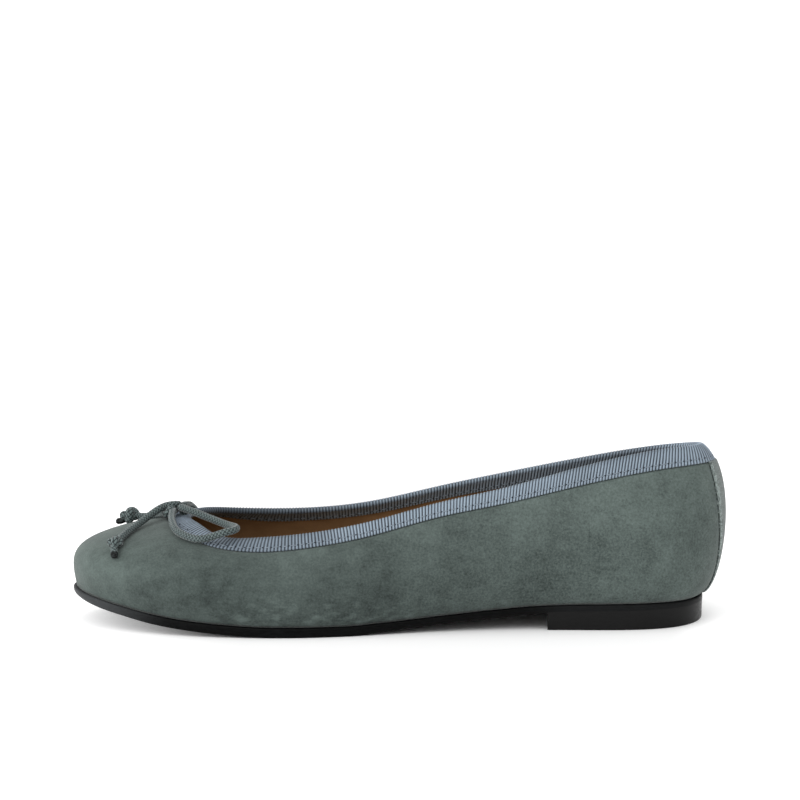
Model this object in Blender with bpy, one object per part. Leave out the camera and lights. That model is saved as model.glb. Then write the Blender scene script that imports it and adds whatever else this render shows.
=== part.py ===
"""Ballet flat for the right foot: suede upper, ribbon binding, drawstring bow, thin sole and low heel.

The toe points to -X, the heel to +X, and the inner side of the foot faces -Y. The floor is z = 0.
The tables are in millimetres, and MM turns them into metres.
"""

from collections import namedtuple
import math

import bmesh
import bpy
import numpy as np

MM = 0.001
GAP = 0.3  # between pieces that meet on a curve

# Upper, in millimetres
WALL = 2.0  # suede and its leather lining
EDGE_WALL = 1.2  # the top edge, skived to go inside the binding
MARGIN_WALL = 1.2  # lasting margin, turned in under the insole
MARGIN_WIDTH = 8.0
FEATHER_INSET = 1.2  # how far inside the sole's edge the upper starts
RECESS = 0.4  # how far the outside drops under the binding

# Ribbon binding: its legs have their rings at these shares of their depth below the top edge
BINDING_WALL = 0.8
BINDING_RINGS = (1.0, 0.62, 0.27, 0.0)

# Insole, heel and bow
INSOLE_INSET = 3.9
INSOLE_WALL = 2.2
SOLE_EDGE_ROUND = 0.6
BREAST_X = 58.0  # middle of the heel's hollow front face
BREAST_RADIUS = 150.0
CORD = 3.0
KNOT_SEGMENTS = 16
KNOT_RINGS = 9

# The last: one row for each station from the middle of the heel to the tip of the toe.
# x, in_y and out_y are the sole's edge on the inner and outer side of the foot. The top_ columns are the
# topline. flare and rise lead the side wall away from the sole, shoulder and drop lead it to the topline, and
# ribbon is how far the binding reaches down from it.
Station = namedtuple(
    "Station",
    "x in_y out_y top_x top_in_y top_out_y top_in_z top_out_z flare rise shoulder drop ribbon",
)
LAST = [
    Station(115.8, 0.0, 0.0, 115.2, 0.0, 0.0, 66.7, 66.7, 8.6, 0.4, 14.0, 10.0, 7.3),
    Station(108.0, 18.8, 18.8, 110.8, 10.6, 10.6, 67.4, 65.2, 8.0, 1.0, 12.0, 11.0, 7.3),
    Station(88.0, 27.0, 27.3, 95.0, 18.2, 18.2, 66.9, 61.7, 7.0, 2.0, 8.5, 14.0, 7.3),
    Station(62.0, 27.2, 28.6, 68.0, 22.3, 22.3, 61.5, 56.2, 6.5, 4.5, 8.0, 16.0, 6.7),
    Station(36.0, 28.2, 31.8, 40.0, 24.9, 24.9, 53.7, 50.8, 6.5, 5.5, 8.5, 14.0, 5.6),
    Station(12.0, 31.6, 36.0, 14.0, 26.6, 26.7, 48.1, 45.0, 6.0, 6.0, 9.0, 11.5, 5.2),
    Station(-12.0, 37.0, 38.8, -11.0, 28.1, 28.1, 41.5, 39.2, 5.6, 6.0, 10.0, 8.0, 5.7),
    Station(-36.0, 41.3, 39.3, -34.0, 29.2, 29.2, 37.4, 36.5, 5.5, 6.0, 12.0, 6.0, 6.9),
    Station(-60.0, 41.2, 37.3, -52.5, 28.6, 28.3, 35.6, 36.3, 5.2, 7.5, 13.4, 5.4, 7.5),
    Station(-83.0, 38.0, 33.0, -67.0, 25.3, 24.0, 35.4, 37.4, 5.0, 10.0, 22.5, 5.0, 7.4),
    Station(-103.0, 31.3, 24.8, -75.4, 16.8, 16.2, 38.0, 38.8, 4.0, 13.0, 34.0, 6.8, 7.3),
    Station(-117.5, 22.0, 13.6, -79.8, 8.3, 8.1, 39.0, 39.1, 3.4, 14.8, 42.5, 7.6, 7.3),
    Station(-124.6, 4.0, -4.0, -81.2, 0.0, 0.0, 39.3, 39.3, 3.2, 15.6, 45.5, 7.8, 7.3),
]
SAMPLES = 3  # sections between two stations

# The sole from the side: bed is its top, which the upper stands on, and tread its underside.
Profile = namedtuple("Profile", "x bed tread")
SOLE = [
    Profile(-125.0, 13.4, 11.2),
    Profile(-117.0, 12.2, 9.1),
    Profile(-105.0, 9.8, 6.4),
    Profile(-93.0, 7.5, 3.9),
    Profile(-80.0, 5.8, 2.2),
    Profile(-64.0, 4.5, 0.8),
    Profile(-48.0, 3.8, 0.0),
    Profile(-20.0, 3.7, 0.0),
    Profile(-8.0, 4.3, 0.9),
    Profile(7.0, 5.4, 2.4),
    Profile(23.0, 6.7, 3.8),
    Profile(38.0, 8.0, 5.1),
    Profile(53.0, 9.1, 6.2),
    Profile(70.0, 9.6, 6.7),
    Profile(95.0, 9.8, 6.9),
    Profile(116.0, 9.5, 6.6),
]

# The drawstring's bow. Each loop and end is a route through these points, at the middle of the cord.
BOW_ROUTES = {
    "near_loop": [
        (-83.1, -2.9, 42.6),
        (-77.9, -8.0, 41.7),
        (-72.5, -12.2, 40.5),
        (-67.4, -16.3, 39.4),
        (-64.2, -19.6, 39.0),
        (-62.1, -23.2, 38.9),
        (-61.5, -26.9, 39.0),
        (-62.8, -30.1, 38.9),
        (-65.4, -31.6, 38.5),
        (-68.6, -31.7, 37.5),
        (-72.4, -31.2, 36.2),
        (-76.4, -30.0, 35.8),
        (-80.0, -27.8, 36.4),
        (-83.0, -24.8, 37.2),
        (-85.0, -20.6, 38.3),
        (-86.1, -15.6, 39.5),
        (-86.6, -10.8, 40.5),
        (-86.5, -4.6, 41.5),
    ],
    "near_end": [
        (-89.9, -1.4, 42.9),
        (-92.0, -3.0, 42.1),
        (-94.4, -4.6, 40.7),
        (-96.8, -6.8, 39.2),
        (-99.8, -10.3, 37.5),
        (-102.4, -14.3, 36.4),
        (-104.2, -17.9, 35.3),
        (-106.0, -21.4, 34.2),
    ],
    "near_tail": [
        (-107.5, -27.0, 31.6),
        (-107.4, -28.1, 30.4),
        (-107.3, -29.3, 29.0),
    ],
    "far_loop": [
        (-82.7, 3.5, 42.5),
        (-81.8, 7.0, 42.1),
        (-81.9, 11.0, 41.2),
        (-82.0, 16.0, 40.6),
        (-81.4, 21.0, 39.6),
        (-80.4, 25.4, 37.8),
        (-79.8, 29.4, 36.0),
        (-80.2, 32.8, 33.4),
        (-82.6, 35.0, 30.2),
        (-86.2, 34.6, 29.3),
        (-89.2, 32.2, 31.1),
        (-91.0, 28.6, 33.7),
        (-91.6, 24.4, 35.8),
        (-91.2, 19.8, 37.5),
        (-90.0, 15.2, 38.7),
        (-88.6, 10.8, 39.6),
        (-87.1, 4.9, 41.4),
    ],
    "far_end": [
        (-89.9, 2.4, 41.8),
        (-92.2, 4.4, 39.8),
        (-94.6, 6.8, 38.9),
        (-96.9, 9.1, 38.2),
        (-99.2, 10.4, 37.6),
        (-101.0, 11.0, 37.6),
    ],
    "far_tail": [
        (-107.5, 12.0, 35.9),
        (-108.9, 12.6, 34.9),
        (-109.9, 12.9, 34.2),
    ],
}

# The bow's knot and the overhand knots near the cord's two ends: middle and half sizes
Knot = namedtuple("Knot", "name x y z half_x half_y half_z")
KNOTS = [
    Knot("bow_knot", -86.0, 0.2, 42.2, 3.3, 4.2, 2.3),
    Knot("near_end_knot", -107.4, -24.4, 33.2, 2.9, 2.9, 2.3),
    Knot("far_end_knot", -104.5, 11.3, 37.3, 2.9, 2.9, 2.6),
]

# Where the side wall has its rings, as shares of the way from the sole to the binding's lower edge
WALL_RINGS = (0.0, 0.06, 0.14, 0.24, 0.36, 0.48, 0.6, 0.72, 0.84, 0.93)


def material(name, colour, roughness, metallic=0.0):
    """A Principled finish in the photo's colour."""
    made = bpy.data.materials.new(name)
    made.use_nodes = True
    shader = made.node_tree.nodes["Principled BSDF"]
    shader.inputs["Base Color"].default_value = (*colour, 1.0)
    shader.inputs["Roughness"].default_value = roughness
    shader.inputs["Metallic"].default_value = metallic
    made.diffuse_color = (*colour, 1.0)
    return made


def closed_curve(rows, samples):
    """A smooth closed curve through the rows, with that many samples for each row."""
    rows = np.asarray(rows, float)
    count = len(rows)
    one = np.eye(count)
    pulls = np.linalg.solve((4 * one + np.roll(one, 1, 0) + np.roll(one, -1, 0)) / 6, rows)
    t = np.arange(samples) / samples
    weights = np.stack(
        [(1 - t) ** 3, 3 * t**3 - 6 * t**2 + 4, -3 * t**3 + 3 * t**2 + 3 * t + 1, t**3], 1
    ) / 6
    near = np.stack([np.roll(pulls, 1 - k, 0) for k in range(4)], 1)
    return np.einsum("tk,nkd->ntd", weights, near).reshape(count * samples, -1)


def open_curve(points, samples):
    """A smooth open curve through the points."""
    points = np.asarray(points, float)
    ends = [2 * points[0] - points[1], *points, 2 * points[-1] - points[-2]]
    made = []
    for a, b, c, d in zip(ends, ends[1:], ends[2:], ends[3:]):
        for t in np.arange(samples) / samples:
            made.append(
                0.5
                * (2 * b + (c - a) * t + (2 * a - 5 * b + 4 * c - d) * t**2 + (3 * b - a - 3 * c + d) * t**3)
            )
    return np.array([*made, points[-1]])


def side_profile(x, column):
    """The height of that column of SOLE at x, with no overshoot, so a level stretch stays level."""
    xs = np.array([row.x for row in SOLE])
    zs = np.array([getattr(row, column) for row in SOLE])
    step = np.diff(zs) / np.diff(xs)
    slope = np.zeros(len(xs))
    same_way = step[:-1] * step[1:] > 0
    slope[1:-1][same_way] = (2 * step[:-1] * step[1:] / (step[:-1] + step[1:]))[same_way]
    slope[0] = step[0]
    slope[-1] = step[-1]
    x = np.clip(x, xs[0], xs[-1])
    i = np.clip(np.searchsorted(xs, x) - 1, 0, len(xs) - 2)
    width = xs[i + 1] - xs[i]
    t = (x - xs[i]) / width
    return (
        zs[i] * (1 + 2 * t) * (1 - t) ** 2
        + slope[i] * width * t * (1 - t) ** 2
        + zs[i + 1] * t**2 * (3 - 2 * t)
        - slope[i + 1] * width * t**2 * (1 - t)
    )


def last_sections():
    """The last's stations as a dictionary of columns, round the shoe from the middle of the heel."""
    inner = [
        (s.x, -s.in_y, s.top_x, -s.top_in_y, s.top_in_z, s.flare, s.rise, s.shoulder, s.drop, s.ribbon)
        for s in LAST
    ]
    outer = [
        (s.x, s.out_y, s.top_x, s.top_out_y, s.top_out_z, s.flare, s.rise, s.shoulder, s.drop, s.ribbon)
        for s in LAST[-2:0:-1]
    ]
    columns = closed_curve(inner + outer, SAMPLES).T
    names = ("x", "y", "top_x", "top_y", "top_z", "flare", "rise", "shoulder", "drop", "ribbon")
    return dict(zip(names, columns))


def outward(outline):
    """Unit vectors that point out of a closed outline, which runs anticlockwise seen from below."""
    along = np.roll(outline, -1, 0) - np.roll(outline, 1, 0)
    normal = np.stack([-along[:, 1], along[:, 0]], 1)
    return normal / np.linalg.norm(normal, axis=1, keepdims=True)


def sole_edge(inset=0.0):
    """The sole's outline in plan, moved in by inset."""
    last = last_sections()
    outline = np.stack([last["x"], last["y"]], 1)
    return outline - inset * outward(outline)


def wall_curves():
    """The outside of the upper at each station: a fine curve from the sole to the topline."""
    last = last_sections()
    out = outward(sole_edge())
    foot = sole_edge(FEATHER_INSET)
    top = np.stack([last["top_x"], last["top_y"]], 1)
    lean = foot - top + 12.0 * out
    lean /= np.linalg.norm(lean, axis=1, keepdims=True)
    foot_z = side_profile(foot[:, 0], "bed") + GAP
    handles = [
        np.column_stack([foot, foot_z]),
        np.column_stack([foot + out * last["flare"][:, None], foot_z + last["rise"]]),
        np.column_stack([top + lean * last["shoulder"][:, None], last["top_z"] - last["drop"]]),
        np.column_stack([top, last["top_z"]]),
    ]
    t = np.linspace(0, 1, 81)[:, None]
    weights = np.hstack([(1 - t) ** 3, 3 * t * (1 - t) ** 2, 3 * t**2 * (1 - t), t**3])
    return np.einsum("tk,ksd->std", weights, np.array(handles))


def surface_normals(grid):
    """Outward unit normals of a grid whose rows go round the shoe and whose columns go up it."""
    around = np.roll(grid, -1, 0) - np.roll(grid, 1, 0)
    up = np.gradient(grid, axis=1)
    normal = np.cross(up, around)
    return normal / np.linalg.norm(normal, axis=2, keepdims=True)


def wall_grid(distances_of):
    """The outside of the upper and its normals, at the distances below the topline that are asked for."""
    fine = wall_curves()
    both = np.dstack([fine, surface_normals(fine)])
    made = []
    for curve, ribbon in zip(both, last_sections()["ribbon"]):
        steps = np.linalg.norm(np.diff(curve[:, :3], axis=0), axis=1)
        along = np.concatenate([[0], np.cumsum(steps)])
        wanted = along[-1] - np.asarray(distances_of(along[-1], ribbon))
        made.append(np.stack([np.interp(wanted, along, column) for column in curve.T], 1))
    made = np.array(made)
    normals = made[..., 3:]
    return made[..., :3], normals / np.linalg.norm(normals, axis=2, keepdims=True)


def loft(name, sections, finish):
    """A ring of closed sections joined one to the next, as a mesh object."""
    mesh = bpy.data.meshes.new(name)
    bm = bmesh.new()
    rings = [[bm.verts.new(np.asarray(p) * MM) for p in section] for section in sections]
    for ring, after in zip(rings, rings[1:] + rings[:1]):
        for k in range(len(ring)):
            m = (k + 1) % len(ring)
            bm.faces.new((ring[k], ring[m], after[m], after[k]))
    bmesh.ops.recalc_face_normals(bm, faces=bm.faces)
    bm.to_mesh(mesh)
    bm.free()
    return piece(name, mesh, finish)


def slab(name, top_outline, top_z, bottom_outline, bottom_z, finish):
    """A plate between two outlines: strips across it follow the curve of the foot from heel to toe."""
    mesh = bpy.data.meshes.new(name)
    bm = bmesh.new()
    top = [bm.verts.new(np.array([*p, z]) * MM) for p, z in zip(top_outline, top_z)]
    bottom = [bm.verts.new(np.array([*p, z]) * MM) for p, z in zip(bottom_outline, bottom_z)]
    count = len(top)
    for k in range(count):
        m = (k + 1) % count
        bm.faces.new((top[k], top[m], bottom[m], bottom[k]))
    for ring in (top, bottom):
        bm.faces.new((ring[0], ring[1], ring[-1]))
        bm.faces.new((ring[count // 2 - 1], ring[count // 2], ring[count // 2 + 1]))
        for k in range(1, count // 2 - 1):
            bm.faces.new((ring[k], ring[k + 1], ring[-k - 1], ring[-k]))
    bmesh.ops.recalc_face_normals(bm, faces=bm.faces)
    bm.to_mesh(mesh)
    bm.free()
    return piece(name, mesh, finish)


def piece(name, mesh, finish, collection="ballet_flat"):
    """A named object for a mesh, shaded smooth with crisp corners, in a collection."""
    mesh.materials.append(finish)
    mesh.shade_smooth()
    mesh.set_sharp_from_angle(angle=math.radians(40))
    made = bpy.data.objects.new(name, mesh)
    bpy.data.collections[collection].objects.link(made)
    return made


def make_upper(finish):
    """One hollow wall, open at the topline and underneath, with the lasting margin turned in."""

    def distances(length, ribbon):
        band = ribbon + GAP
        wall = [length - share * (length - band) for share in WALL_RINGS]
        return [*wall, band + 0.4, band, *(ribbon * share for share in BINDING_RINGS[1:])]

    grid, normals = wall_grid(distances)
    under_binding = len(BINDING_RINGS)
    recess = np.zeros(grid.shape[1])
    recess[-under_binding:] = RECESS
    depth = np.full(grid.shape[1], WALL)
    depth[-under_binding:] = RECESS + EDGE_WALL
    outside = grid - normals * recess[:, None]
    inside = grid - normals * depth[:, None]
    margin_top = side_profile(inside[..., 0], "bed") + GAP + MARGIN_WALL
    inside[..., 2] = np.maximum(inside[..., 2], margin_top)
    corner = sole_edge(INSOLE_INSET - GAP)
    corner_z = side_profile(corner[:, 0], "bed") + GAP + MARGIN_WALL
    edge = sole_edge(FEATHER_INSET + MARGIN_WIDTH)
    edge_z = side_profile(edge[:, 0], "bed") + GAP
    margin = np.stack(
        [
            np.column_stack([corner, corner_z]),
            np.column_stack([edge, edge_z + MARGIN_WALL]),
            np.column_stack([edge, edge_z]),
        ],
        1,
    )
    sections = np.concatenate([outside, inside[:, ::-1], margin], 1)
    return loft("upper", sections, finish)


def make_binding(finish):
    """The ribbon folded over the top edge: an upside-down U all the way round the opening."""
    grid, normals = wall_grid(lambda length, ribbon: ribbon * np.array(BINDING_RINGS))
    up = grid[:, -1] - grid[:, -2]
    up /= np.linalg.norm(up, axis=1, keepdims=True)
    outer_in = GAP - RECESS
    outer_out = outer_in + BINDING_WALL
    inner_in = -(RECESS + EDGE_WALL + GAP)
    inner_out = inner_in - BINDING_WALL
    middle = (outer_in + inner_in) / 2
    half = (outer_out - inner_out) / 2
    turns = [math.radians(a) for a in (30, 60, 90, 120, 150)]
    sections = []
    for points, n, u in zip(grid, normals, up):
        end = points[-1]
        across = n[-1]
        outside = [p + m * outer_out for p, m in zip(points, n)]
        over = [
            end + across * (middle + half * math.cos(a)) + u * (GAP + BINDING_WALL) * math.sin(a)
            for a in turns
        ]
        lining = [p + m * inner_out for p, m in zip(points, n)][::-1]
        back_up = [p + m * inner_in for p, m in zip(points, n)]
        back_down = [p + m * outer_in for p, m in zip(points, n)][::-1]
        back_up[-1] = back_up[-1] + u * GAP
        back_down[0] = back_down[0] + u * GAP
        sections.append([*outside, *over, *lining, *back_up, *back_down])
    return loft("collar_binding", sections, finish)


def make_outsole(finish):
    """The thin black sole, with toe spring, level under the ball and arched at the waist."""
    top = sole_edge()
    bottom = sole_edge(SOLE_EDGE_ROUND)
    return slab(
        "outsole",
        top,
        side_profile(top[:, 0], "bed"),
        bottom,
        side_profile(bottom[:, 0], "tread"),
        finish,
    )


def make_insole(finish):
    """The leather sock on the lasting margin."""
    outline = sole_edge(INSOLE_INSET)
    seat = side_profile(outline[:, 0], "bed") + 2 * GAP + MARGIN_WALL
    return slab("insole", outline, seat + INSOLE_WALL, outline, seat, finish)


def make_heel(finish):
    """The low heel under the sole, cut from the sole's own outline by a round breast."""
    outline = sole_edge(SOLE_EDGE_ROUND)
    top_z = np.maximum(side_profile(outline[:, 0], "tread") - GAP, 3.0)
    heel = slab("heel", outline, top_z, outline, 0 * top_z, finish)
    bpy.ops.mesh.primitive_cylinder_add(
        vertices=256,
        radius=BREAST_RADIUS * MM,
        depth=0.06,
        location=((BREAST_X - BREAST_RADIUS) * MM, 0, 0),
    )
    cutter = bpy.context.object
    cutter.name = "breast_cutter"
    for old in list(cutter.users_collection):
        old.objects.unlink(cutter)
    bpy.data.collections["cutters"].objects.link(cutter)
    cutter.hide_render = True
    cutter.display_type = "WIRE"
    cut = heel.modifiers.new("breast", "BOOLEAN")
    cut.operation = "DIFFERENCE"
    cut.solver = "EXACT"
    cut.object = cutter
    return heel


def make_cord(name, route, finish):
    """A round cord along a smooth curve through the route's points."""
    points = open_curve(route, 2) * MM
    curve = bpy.data.curves.new(name, "CURVE")
    curve.dimensions = "3D"
    curve.bevel_depth = CORD / 2 * MM
    curve.bevel_resolution = 2
    curve.use_fill_caps = True
    spline = curve.splines.new("POLY")
    spline.points.add(len(points) - 1)
    for spot, (x, y, z) in zip(spline.points, points):
        spot.co = (x, y, z, 1.0)
    curve.materials.append(finish)
    made = bpy.data.objects.new(name, curve)
    bpy.data.collections["ballet_flat"].objects.link(made)
    return made


def make_knot(knot, finish):
    """The outer shape of a knot, a ball pressed flat against the upper."""
    mesh = bpy.data.meshes.new(knot.name)
    bm = bmesh.new()
    bmesh.ops.create_uvsphere(bm, u_segments=KNOT_SEGMENTS, v_segments=KNOT_RINGS, radius=MM)
    bmesh.ops.scale(bm, vec=(knot.half_x, knot.half_y, knot.half_z), verts=bm.verts)
    bmesh.ops.translate(bm, vec=(knot.x * MM, knot.y * MM, knot.z * MM), verts=bm.verts)
    bm.to_mesh(mesh)
    bm.free()
    return piece(knot.name, mesh, finish)


def clear_scene():
    for old in list(bpy.data.objects):
        bpy.data.objects.remove(old, do_unlink=True)
    for name in ("ballet_flat", "cutters"):
        made = bpy.data.collections.new(name)
        bpy.context.scene.collection.children.link(made)


clear_scene()
SUEDE = material("grey_green_suede", (0.085, 0.11, 0.105), 0.95)
RIBBON = material("blue_grey_ribbon", (0.14, 0.18, 0.22), 0.7)
CORD_FINISH = material("grey_green_cord", (0.09, 0.11, 0.1), 0.85)
SOLE_FINISH = material("black_sole", (0.012, 0.012, 0.013), 0.5)
HEEL_FINISH = material("black_heel", (0.012, 0.012, 0.012), 0.45)
LEATHER = material("tan_leather", (0.11, 0.06, 0.03), 0.6)
make_outsole(SOLE_FINISH)
make_heel(HEEL_FINISH)
make_insole(LEATHER)
make_upper(SUEDE)
make_binding(RIBBON)
for cord_name, cord_route in BOW_ROUTES.items():
    make_cord(cord_name, cord_route, CORD_FINISH)
for knot_row in KNOTS:
    make_knot(knot_row, CORD_FINISH)
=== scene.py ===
"""Looks of a ballet flat: grey-green suede, ribbon-bound topline, drawstring bow, thin sole and low heel.

Sizes are in millimetres, and MM turns them into metres. The toe points to -X, the inner side of the foot
faces -Y, and the floor is z = 0.
"""

from collections import namedtuple
import math

import bmesh
import bpy
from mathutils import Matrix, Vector
import numpy as np


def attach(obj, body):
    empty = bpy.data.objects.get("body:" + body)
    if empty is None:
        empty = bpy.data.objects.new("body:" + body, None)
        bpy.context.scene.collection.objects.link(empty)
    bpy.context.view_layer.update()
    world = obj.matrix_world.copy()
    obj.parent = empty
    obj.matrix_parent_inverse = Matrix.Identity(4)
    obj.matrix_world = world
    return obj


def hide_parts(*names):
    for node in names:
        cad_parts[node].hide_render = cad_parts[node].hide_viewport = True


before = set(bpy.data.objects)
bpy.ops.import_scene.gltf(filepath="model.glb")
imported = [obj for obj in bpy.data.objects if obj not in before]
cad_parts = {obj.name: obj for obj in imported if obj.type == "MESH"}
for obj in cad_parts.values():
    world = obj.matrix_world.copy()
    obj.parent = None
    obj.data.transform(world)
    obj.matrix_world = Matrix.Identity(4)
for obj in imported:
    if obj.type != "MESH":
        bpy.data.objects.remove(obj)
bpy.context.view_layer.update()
MM = 0.001


# A shoe on a white studio table, lit by a wide bank of diffusers overhead and by a second one at the toe,
# which brings out its round front. The table is a plain sheet of matt white acrylic, which glows at both
# ends of the shoe: painted light that washes out the shoe's shadow there.
FLOOR_SIZE = 14.0
FLOOR_WHITE = 0.85
FLOOR_GLOW = 0.38
TOE_GLOW = (-125.0, -55.0)
HEEL_GLOW = (100.0, 124.0)
CAMERA_BACK = 1565.0
CAMERA_HEIGHT = 332.66
CAMERA_PITCH = 9.0405
CAMERA_LENS = 187.49
CAMERA_SENSOR = 36.0
SKY = 0.60
BLACK = (0.0, 0.0, 0.0)
WHITE = (1.0, 1.0, 1.0)
WELD = 0.001
BANKS = [
    ("bank_overhead", 1.2, 80.0, (0.15, -0.3, 1.0)),
    ("bank_at_toe", 2.7, 70.0, (-0.85, -0.52, 0.42)),
]

bpy.context.scene.view_settings.view_transform = "Standard"

world = bpy.data.worlds.new("studio")
world.use_nodes = True
world.node_tree.nodes["Background"].inputs["Color"].default_value = (*WHITE, 1.0)
world.node_tree.nodes["Background"].inputs["Strength"].default_value = SKY
bpy.context.scene.world = world

for name, strength, width, away in BANKS:
    bank = bpy.data.lights.new(name, "SUN")
    bank.energy = strength
    bank.angle = math.radians(width)
    hung = bpy.data.objects.new(name, bank)
    hung.rotation_euler = Vector(away).to_track_quat("Z", "Y").to_euler()
    bpy.context.scene.collection.objects.link(hung)

camera = bpy.data.objects.new("camera", bpy.data.cameras.new("camera"))
camera.data.lens = CAMERA_LENS
camera.data.sensor_width = CAMERA_SENSOR
camera.location = (0.0, -CAMERA_BACK * MM, CAMERA_HEIGHT * MM)
camera.rotation_euler = (math.radians(90.0 - CAMERA_PITCH), 0.0, 0.0)
bpy.context.scene.collection.objects.link(camera)
bpy.context.scene.camera = camera


class Wire:
    """A socket in a material. Arithmetic on it adds Math nodes, and node() adds any other node."""

    def __init__(self, tree, socket=None):
        self.tree = tree
        self.socket = socket

    def node(self, kind, settings, values, output=0):
        """A node with its settings made first, and then its sockets' values or links."""
        made = self.tree.nodes.new(kind)
        for name, setting in settings.items():
            setattr(made, name, setting)
        for name, value in values.items():
            if isinstance(value, Wire):
                self.tree.links.new(value.socket, made.inputs[name])
            else:
                made.inputs[name].default_value = value
        return Wire(self.tree, made.outputs[output])

    def math(self, operation, *others):
        """A Math node with this socket first."""
        return self.node("ShaderNodeMath", {"operation": operation}, dict(enumerate((self, *others))))

    def __add__(self, other):
        return self.math("ADD", other)

    def __sub__(self, other):
        return self.math("SUBTRACT", other)

    def __rsub__(self, other):
        return self * -1.0 + other

    def __mul__(self, other):
        return self.math("MULTIPLY", other)

    def __truediv__(self, other):
        return self.math("DIVIDE", other)

    __radd__ = __add__
    __rmul__ = __mul__

    def above_zero(self):
        return self.math("MAXIMUM", 0.0)

    def ridges(self, spacing):
        """Even ridges and hollows with that spacing, from 0 to 1."""
        return (self * (math.tau / spacing)).math("COSINE") * 0.5 + 0.5

    def between(self, low, high):
        """0 below low, 1 above high, and smooth from one to the other."""
        settings = {"interpolation_type": "SMOOTHSTEP"}
        values = {"Value": self, "From Min": low, "From Max": high}
        return self.node("ShaderNodeMapRange", settings, values)

    def along(self, axis, low, high):
        """On coordinates: 0 below low millimetres on that axis, 1 above high, and smooth between them."""
        return self.part(axis).between(low * MM, high * MM)

    def part(self, axis):
        return self.node("ShaderNodeSeparateXYZ", {}, {0: self}, output=axis)

    def mix(self, first, second):
        """The colour that goes from the first to the second as this goes from 0 to 1."""
        values = {0: self, 6: (*first, 1.0), 7: (*second, 1.0)}
        return self.node("ShaderNodeMix", {"data_type": "RGBA"}, values, output=2)

    def cells(self, size, detail=2.0, roughness=0.5, distortion=0.0):
        """Noise on these coordinates, with features of about that size in millimetres, from 0 to 1."""
        values = {"Vector": self, "Scale": 1.0 / (size * MM), "Detail": detail}
        values.update({"Roughness": roughness, "Distortion": distortion})
        return self.node("ShaderNodeTexNoise", {}, values)

    def stretched(self, x, y, z):
        """These coordinates scaled along each axis."""
        return self.node("ShaderNodeMapping", {"vector_type": "POINT"}, {"Vector": self, "Scale": (x, y, z)})


class Finish:
    """A Principled material, with the coordinates that its patterns read."""

    def __init__(self, name, roughness, **constants):
        self.material = bpy.data.materials.new(name)
        self.material.use_nodes = True
        self.tree = self.material.node_tree
        self.shader = self.tree.nodes["Principled BSDF"]
        self.shader.inputs["Roughness"].default_value = roughness
        for socket, value in constants.items():
            self.shader.inputs[socket.replace("_", " ")].default_value = value
        start = Wire(self.tree)
        self.place = start.node("ShaderNodeTexCoord", {}, {}, output="Object")
        lengths = start.node("ShaderNodeTexCoord", {}, {}, output="UV")
        self.along = lengths.part("X")
        self.across = lengths.part("Y")

    def feed(self, socket, wire):
        self.tree.links.new(wire.socket, self.shader.inputs[socket])

    def relief(self, height, depth, strength=1.0):
        """Bump from a height of 0 to 1, that many millimetres deep."""
        values = {"Height": height, "Distance": depth * MM, "Strength": strength}
        self.feed("Normal", height.node("ShaderNodeBump", {}, values))


def finished(name, bm, finish):
    """The piece that a bmesh holds, with its faces turned outwards and its finish on."""
    bmesh.ops.recalc_face_normals(bm, faces=bm.faces)
    mesh = bpy.data.meshes.new(name)
    bm.to_mesh(mesh)
    bm.free()
    mesh.shade_smooth()
    mesh.materials.append(finish.material)
    made = bpy.data.objects.new(name, mesh)
    bpy.context.scene.collection.objects.link(made)
    return made


def chart(along, across):
    """Lengths for a grid of points, from one list along it and one across it."""
    return np.stack(np.broadcast_arrays(along, across), 2)


def bent_grid(name, points, lengths, finish):
    """A grid bent to rows of points in millimetres, welded where edges meet, with lengths as its UV map."""
    rows, columns = points.shape[:2]
    bm = bmesh.new()
    uv = bm.loops.layers.uv.new("UVMap")
    bmesh.ops.create_grid(bm, x_segments=columns - 1, y_segments=rows - 1, size=1.0)
    bm.verts.ensure_lookup_table()
    spots = np.broadcast_to(lengths, (rows, columns, 2)).reshape(-1, 2).tolist()
    for vert, place in zip(bm.verts, (points.reshape(-1, 3) * MM).tolist()):
        vert.co = place
    for face in bm.faces:
        for loop in face.loops:
            loop[uv].uv = spots[loop.vert.index]
    bmesh.ops.remove_doubles(bm, verts=bm.verts, dist=WELD * MM)
    bmesh.ops.dissolve_degenerate(bm, edges=bm.edges, dist=WELD * MM / 10)
    return finished(name, bm, finish)


def fit(made, slot, *nodes):
    """A finished piece, on the shoe's one body, in place of those CAD nodes."""
    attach(made, "root")
    if nodes:
        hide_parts(*nodes)


acrylic = Finish(
    "white_acrylic",
    0.9,
    Base_Color=(FLOOR_WHITE, FLOOR_WHITE, FLOOR_WHITE, 1.0),
    Emission_Strength=FLOOR_GLOW,
)
# Painted light: the floor glows only near the toe and behind the heel, which washes out the shoe's shadow
# there.
painted_glow = 1.0 - acrylic.place.along("X", *TOE_GLOW) + acrylic.place.along("X", *HEEL_GLOW)
acrylic.feed("Emission Color", painted_glow.mix(BLACK, WHITE))
corners = np.array([[[-1, -1, 0], [1, -1, 0]], [[-1, 1, 0], [1, 1, 0]]]) * FLOOR_SIZE / 2 / MM
floor = bent_grid("floor", corners, 0.0, acrylic)


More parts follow.
